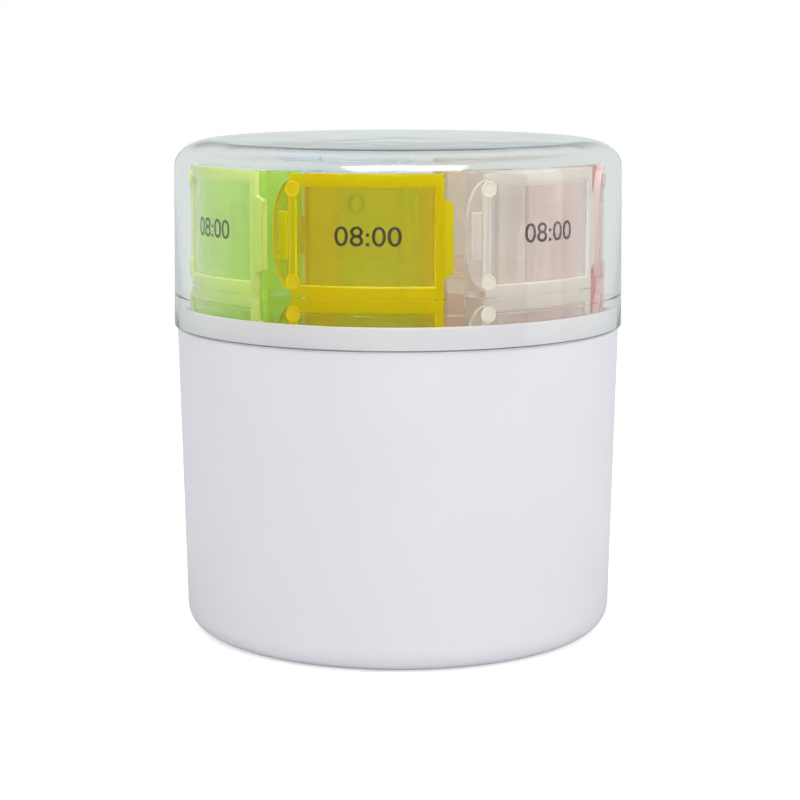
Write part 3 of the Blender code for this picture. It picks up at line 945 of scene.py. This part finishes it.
def printed(words):
    """A line of figures bent round the lid's panel, at azimuth zero and height zero."""
    curve = bpy.data.curves.new("figures", "FONT")
    curve.body = words
    writing = bpy.data.objects.new("figures", curve)
    bpy.context.collection.objects.link(writing)
    bpy.context.view_layer.update()
    mesh = bpy.data.meshes.new_from_object(writing)
    bpy.data.objects.remove(writing)
    bpy.data.curves.remove(curve)
    shape = bmesh.new()
    shape.from_mesh(mesh)
    bpy.data.meshes.remove(mesh)
    bmesh.ops.remove_doubles(shape, verts=shape.verts, dist=MERGE_DISTANCE)
    across = [vert.co.x for vert in shape.verts]
    upward = [vert.co.y for vert in shape.verts]
    wide, high = max(across) - min(across), max(upward) - min(upward)
    surface = LID_OUTER - PANEL_RECESS + INK_LIFT
    for vert in shape.verts:
        along = ((vert.co.x - min(across)) / wide - 1 / 2) * PRINT_WIDTH + PRINT_SHIFT
        rise = ((vert.co.y - min(upward)) / high - 1 / 2) * PRINT_HEIGHT + PRINT_RISE
        vert.co = Vector((along, -surface, rise))
    grown = bmesh.ops.extrude_face_region(shape, geom=shape.faces[:])
    bmesh.ops.translate(shape, verts=new_verts(grown), vec=(0, -INK_FILM, 0))
    bmesh.ops.recalc_face_normals(shape, faces=shape.faces)
    bent(shape)
    return shape


print_shapes = [printed(words) for words in TIMES]
print("figures", TIMES, "faces", [len(shape.faces) for shape in print_shapes])

# %% [markdown]
# ## Setting the ring of boxes
#
# One tray and one lid serve all seven days and all four levels. Each copy is turned to its own
# azimuth and raised to its own level inside its mesh, so that every object stays at the origin.

# %% Place the copies


def turned_copy(shape, azimuth, height=0.0):
    """A copy of a shape, turned about the organizer's axis and raised."""
    copy = shape.copy()
    move = Matrix.Translation((0, 0, height)) @ Matrix.Rotation(azimuth, 4, "Z")
    bmesh.ops.transform(copy, matrix=move, verts=copy.verts)
    return copy


for day, tint in enumerate(DAY_TINTS, start=1):
    azimuth = FRONT_AZIMUTH + 2 * pi * (day - 1) / DAY_COUNT
    plastic = day_materials[tint]
    finished(
        f"tray_{day}", turned_copy(tray_shape, azimuth), plastic, f"box_{day}",
        [f"day_box_{day}"], soft_edge=TRAY_EDGE,
    )
    for level in range(LEVEL_COUNT):
        height = level_height(level)
        body = f"lid_{day}_{level + 1}"
        finished(
            f"lid_panel_{day}_{level + 1}", turned_copy(lid_shape, azimuth, height), plastic, body,
            [f"day_{day}_lid_{level + 1}"],
        )
        finished(
            f"time_print_{day}_{level + 1}", turned_copy(print_shapes[level], azimuth, height),
            [ink_material], body, [],
        )
print("set", DAY_COUNT, "boxes with", DAY_COUNT * LEVEL_COUNT, "lids")

# %% [markdown]
# ## Studio
#
# A white sweep in broad soft light, as for a catalogue. The lamps and the sky give the pieces a
# plain level of light. The camera sees the background white, and the plastic sees a pale room. Both
# are only looked at and add no light of their own. The floor keeps the soft shadow under the foot.
# The room is dark in front of the object, as a studio is behind its camera. Otherwise each wall
# would mirror a bright room at the camera and look milky. Light that was mirrored more than once
# has wandered inside the clear walls, and for that the room is bright all round.

# %% Floor and sky
FLOOR_SIZE = 4.0
FLOOR_COLOUR = "#f4f4f4"
FLOOR_FADE = (-0.1, 0.1)
FLOOR_GLOW = 0.5
SKY_STRENGTH = 0.66
SKY_FADE = (-0.35, 0.15)
FILL_COLOUR = (0.98, 0.98, 1, 1)
ROOM_DARK = 0.06
ROOM_COLOUR = (0.71, 0.765, 0.765, 1)
WHITE = (1, 1, 1, 1)
BLACK = (0, 0, 0, 1)


def looked_at(tree):
    """1 for what the plastic mirrors or lets through, 0 for the camera, lamps and soft light."""
    path = add_node(tree, "ShaderNodeLightPath")
    bent_ray = add_node(
        tree, "ShaderNodeMath", {"operation": "MAXIMUM"},
        _0=path.outputs["Is Glossy Ray"], _1=path.outputs["Is Transmission Ray"],
    )
    unscattered = add_node(
        tree, "ShaderNodeMath", {"operation": "LESS_THAN"},
        _0=path.outputs["Diffuse Depth"], _1=0.5,
    )
    both = add_node(
        tree, "ShaderNodeMath", {"operation": "MULTIPLY"},
        _0=bent_ray.outputs[0], _1=unscattered.outputs[0],
    )
    return both.outputs[0]


def room_light(tree, place, fade_range):
    """The room's light: full all round, but dark in front for a ray that was mirrored once."""
    depth = add_node(tree, "ShaderNodeSeparateXYZ", Vector=place).outputs["Y"]
    front, back = fade_range
    fade = add_node(
        tree, "ShaderNodeMapRange", {"interpolation_type": "SMOOTHSTEP"},
        Value=depth, From_Min=front, From_Max=back, To_Min=ROOM_DARK, To_Max=1.0,
    )
    mirrored_once = add_node(
        tree, "ShaderNodeMath", {"operation": "COMPARE"},
        _0=add_node(tree, "ShaderNodeLightPath").outputs["Glossy Depth"], _1=1.0, _2=0.5,
    )
    not_once = add_node(
        tree, "ShaderNodeMath", {"operation": "SUBTRACT"}, _0=1.0, _1=mirrored_once.outputs[0]
    )
    share = add_node(
        tree, "ShaderNodeMath", {"operation": "MAXIMUM"},
        _0=fade.outputs["Result"], _1=not_once.outputs[0],
    )
    return share.outputs[0]


def floor_material():
    """White paper whose front half is left dark in reflections, like the unlit table before it."""
    material, tree, output = blank_material("white_paper_sweep")
    matt = add_node(tree, "ShaderNodeBsdfDiffuse", Color=(*linear(FLOOR_COLOUR), 1))
    place = add_node(tree, "ShaderNodeTexCoord").outputs["Object"]
    share = room_light(tree, place, FLOOR_FADE)
    mirrored = add_node(tree, "ShaderNodeEmission", Color=ROOM_COLOUR, Strength=share)
    seen = add_node(tree, "ShaderNodeLightPath").outputs["Is Camera Ray"]
    glow = add_node(tree, "ShaderNodeEmission", Color=WHITE, Strength=FLOOR_GLOW)
    dark = add_node(tree, "ShaderNodeEmission", Color=BLACK, Strength=0.0)
    lift = add_node(
        tree, "ShaderNodeMixShader", _0=seen, _1=dark.outputs["Emission"],
        _2=glow.outputs["Emission"],
    )
    both = add_node(
        tree, "ShaderNodeAddShader", _0=matt.outputs["BSDF"], _1=lift.outputs["Shader"]
    )
    mixed = add_node(
        tree, "ShaderNodeMixShader", _0=looked_at(tree), _1=both.outputs["Shader"],
        _2=mirrored.outputs["Emission"],
    )
    tree.links.new(mixed.outputs["Shader"], output.inputs["Surface"])
    return material


def make_floor():
    """A flat square under the object."""
    shape = bmesh.new()
    bmesh.ops.create_grid(shape, x_segments=1, y_segments=1, size=FLOOR_SIZE / 2)
    mesh = bpy.data.meshes.new("floor")
    shape.to_mesh(mesh)
    shape.free()
    mesh.materials.append(floor_material())
    floor = bpy.data.objects.new("floor", mesh)
    bpy.context.collection.objects.link(floor)


def make_sky():
    """White to the camera, an even fill as a light, and a pale room in the plastic."""
    world = bpy.data.worlds.new("studio_sky")
    bpy.context.scene.world = world
    world.use_nodes = True
    tree = world.node_tree
    tree.nodes.clear()
    output = tree.nodes.new("ShaderNodeOutputWorld")
    place = add_node(tree, "ShaderNodeTexCoord").outputs["Generated"]
    share = room_light(tree, place, SKY_FADE)
    room = add_node(tree, "ShaderNodeBackground", Color=ROOM_COLOUR, Strength=share)
    fill = add_node(tree, "ShaderNodeBackground", Color=FILL_COLOUR, Strength=SKY_STRENGTH)
    white = add_node(tree, "ShaderNodeBackground", Color=WHITE, Strength=1.0)
    unseen = add_node(
        tree, "ShaderNodeMixShader", _0=looked_at(tree), _1=fill.outputs["Background"],
        _2=room.outputs["Background"],
    )
    seen = add_node(tree, "ShaderNodeLightPath").outputs["Is Camera Ray"]
    mixed = add_node(
        tree, "ShaderNodeMixShader", _0=seen, _1=unseen.outputs["Shader"],
        _2=white.outputs["Background"],
    )
    tree.links.new(mixed.outputs["Shader"], output.inputs["Surface"])


make_floor()
make_sky()
print("floor and sky made")

# %% [markdown]
# ## Lamps
#
# One wide softbox high in front and a low one behind the camera light the cup evenly, and one at
# the back keeps its far side as light. Two tall ones at the sides lift its edges. The white strip
# along the cover's shoulder is the mirror image of a bright lamp overhead. A lamp that bright would
# bleach everything else, so it is only seen and lights nothing, while those in front and behind
# light the object and aren't seen in it. Angles are in degrees, distances and sizes in metres.

# %% Softboxes
LOOK_AT = Vector((0, 0, 60 * MM))


def softbox(name, azimuth, elevation, distance, size, watts, lights=True, seen=True):
    """A flat lamp that faces the object, which can light unseen or be seen without lighting."""
    lamp = bpy.data.lights.new(name, "AREA")
    lamp.shape = "RECTANGLE"
    lamp.size, lamp.size_y = size
    lamp.energy = watts
    holder = bpy.data.objects.new(name, lamp)
    flat = distance * cos(radians(elevation))
    spot = on_circle(radians(azimuth), flat, distance * sin(radians(elevation)))
    holder.location = LOOK_AT + spot
    holder.rotation_euler = (-spot).to_track_quat("-Z", "Y").to_euler()
    holder.visible_diffuse = lights
    holder.visible_glossy = seen
    holder.visible_transmission = seen
    bpy.context.collection.objects.link(holder)


softbox("front_softbox", 3, 58, 1.1, (1.05, 0.3), 3.4, seen=False)
softbox("low_softbox", 8, 4, 1.3, (0.9, 0.5), 1.8, seen=False)
softbox("right_softbox", 78, 12, 1.0, (0.4, 1.2), 1.4)
softbox("left_softbox", -80, 12, 1.0, (0.3, 1.2), 0.3)
softbox("rear_softbox", 180, 20, 1.2, (1.0, 0.8), 3.0, seen=False)
softbox("overhead_strip", 6, 63, 1.1, (0.87, 0.5), 14.0, lights=False)
print("six softboxes")

# %% [markdown]
# ## Camera
#
# A long lens from a little above, so that the top shows as a thin ellipse. Clear plastic needs many
# bends of light before a ray is out of all the walls, so the bounce limits are raised.

# %% Camera and light paths
CAMERA_DISTANCE = 564.1 * MM
CAMERA_HEIGHT = 149.5 * MM
CAMERA_PITCH = radians(9.454)
FOCAL_LENGTH = 103.55
SENSOR_WIDTH = 36
SHIFT = 0.0025

lens = bpy.data.cameras.new("camera")
lens.lens = FOCAL_LENGTH
lens.sensor_width = SENSOR_WIDTH
lens.shift_x = SHIFT
camera = bpy.data.objects.new("camera", lens)
camera.location = (0, -CAMERA_DISTANCE, CAMERA_HEIGHT)
camera.rotation_euler = (pi / 2 - CAMERA_PITCH, 0, 0)
bpy.context.collection.objects.link(camera)

scene = bpy.context.scene
scene.camera = camera
scene.view_settings.view_transform = "Standard"
scene.cycles.max_bounces = 40
scene.cycles.transmission_bounces = 36
scene.cycles.transparent_max_bounces = 48
scene.cycles.glossy_bounces = 8
scene.cycles.diffuse_bounces = 4
scene.cycles.sample_clamp_indirect = 4
print("camera set")
